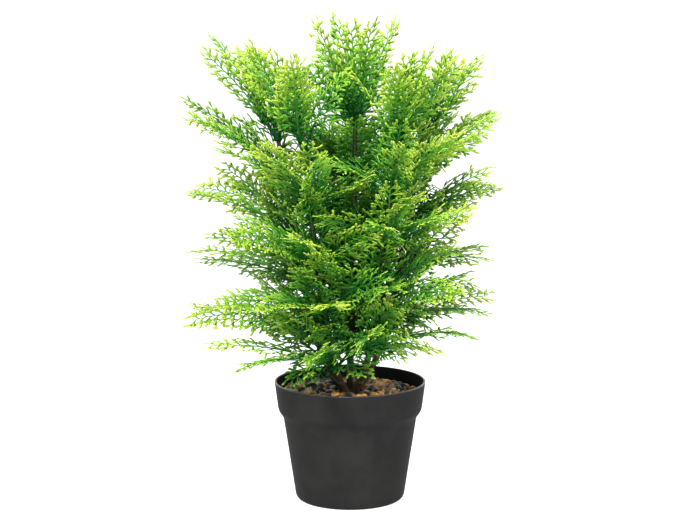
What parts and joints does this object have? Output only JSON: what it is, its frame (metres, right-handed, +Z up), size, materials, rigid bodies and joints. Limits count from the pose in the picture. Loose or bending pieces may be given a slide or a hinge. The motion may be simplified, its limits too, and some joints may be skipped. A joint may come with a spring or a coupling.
{
  "type": "artificial tabletop tree",
  "caption": "Potted artificial conifer: cypress-like sprays on wire-cored stems that bend at the foot, in a black nursery pot topped with gravel.",
  "frame": {"origin": "centre of the pot's flat underside", "axes": "+Z up along the pot's axis, -Y towards the front, +X to the viewer's right"},
  "size_m": [0.3116, 0.3136, 0.4743],
  "materials": {
    "pot_plastic": "fine-grained matte charcoal black",
    "cement": "cast, rough",
    "gravel": "bonded mixed pebbles",
    "bark": "moulded bark texture",
    "steel_wire": "drawn wire",
    "foliage": "satin soft plastic, dark green to yellow-green at the tips"
  },
  "bodies": {
    "base": {"pot": "pot_plastic", "cast_plug": "cement", "gravel_layer": "gravel", "trunk_base": "bark", "leaf_spray_low": "foliage"},
    "front_left_stem": {"stem_front_left": "bark", "wire_core_front_left": "steel_wire", "leaf_cluster_front_left_1": "foliage", "leaf_cluster_front_left_2": "foliage", "leaf_cluster_front_left_3": "foliage", "leaf_cluster_front_left_4": "foliage", "leaf_cluster_front_left_5": "foliage"},
    "front_right_stem": {"stem_front_right": "bark", "wire_core_front_right": "steel_wire", "leaf_cluster_front_right_1": "foliage", "leaf_cluster_front_right_2": "foliage", "leaf_cluster_front_right_3": "foliage", "leaf_cluster_front_right_4": "foliage", "leaf_cluster_front_right_5": "foliage"},
    "right_stem": {"stem_right": "bark", "wire_core_right": "steel_wire", "leaf_cluster_right_1": "foliage", "leaf_cluster_right_2": "foliage", "leaf_cluster_right_3": "foliage", "leaf_cluster_right_4": "foliage", "leaf_cluster_right_5": "foliage"},
    "back_stem": {"stem_back": "bark", "wire_core_back": "steel_wire", "leaf_cluster_back_1": "foliage", "leaf_cluster_back_2": "foliage", "leaf_cluster_back_3": "foliage", "leaf_cluster_back_4": "foliage", "leaf_cluster_back_5": "foliage"},
    "left_stem": {"stem_left": "bark", "wire_core_left": "steel_wire", "leaf_cluster_left_1": "foliage", "leaf_cluster_left_2": "foliage", "leaf_cluster_left_3": "foliage", "leaf_cluster_left_4": "foliage", "leaf_cluster_left_5": "foliage"},
    "centre_stem": {"stem_centre": "bark", "wire_core_centre": "steel_wire", "leaf_cluster_centre_1": "foliage", "leaf_cluster_centre_2": "foliage", "leaf_cluster_centre_3": "foliage", "leaf_cluster_centre_4": "foliage"}
  },
  "joints": [
    {"name": "front_left_bend", "type": "hinge", "parent": "base", "child": "front_left_stem", "pos_m": [-0.00764, -0.01052, 0.116], "axis": [0.809, -0.5878, 0], "range_deg": [-3, 18]},
    {"name": "front_right_bend", "type": "hinge", "parent": "base", "child": "front_right_stem", "pos_m": [0.00764, -0.01052, 0.116], "axis": [0.809, 0.5878, 0], "range_deg": [-3, 18]},
    {"name": "right_bend", "type": "hinge", "parent": "base", "child": "right_stem", "pos_m": [0.01236, 0.00402, 0.116], "axis": [-0.309, 0.9511, 0], "range_deg": [-3, 18]},
    {"name": "back_bend", "type": "hinge", "parent": "base", "child": "back_stem", "pos_m": [0, 0.013, 0.116], "axis": [-1, 0, 0], "range_deg": [-3, 18]},
    {"name": "left_bend", "type": "hinge", "parent": "base", "child": "left_stem", "pos_m": [-0.01236, 0.00402, 0.116], "axis": [-0.309, -0.9511, 0], "range_deg": [-3, 18]},
    {"name": "centre_bend", "type": "hinge", "parent": "base", "child": "centre_stem", "pos_m": [0, 0, 0.116], "axis": [1, 0, 0], "range_deg": [-2.5, 2.5]}
  ]
}
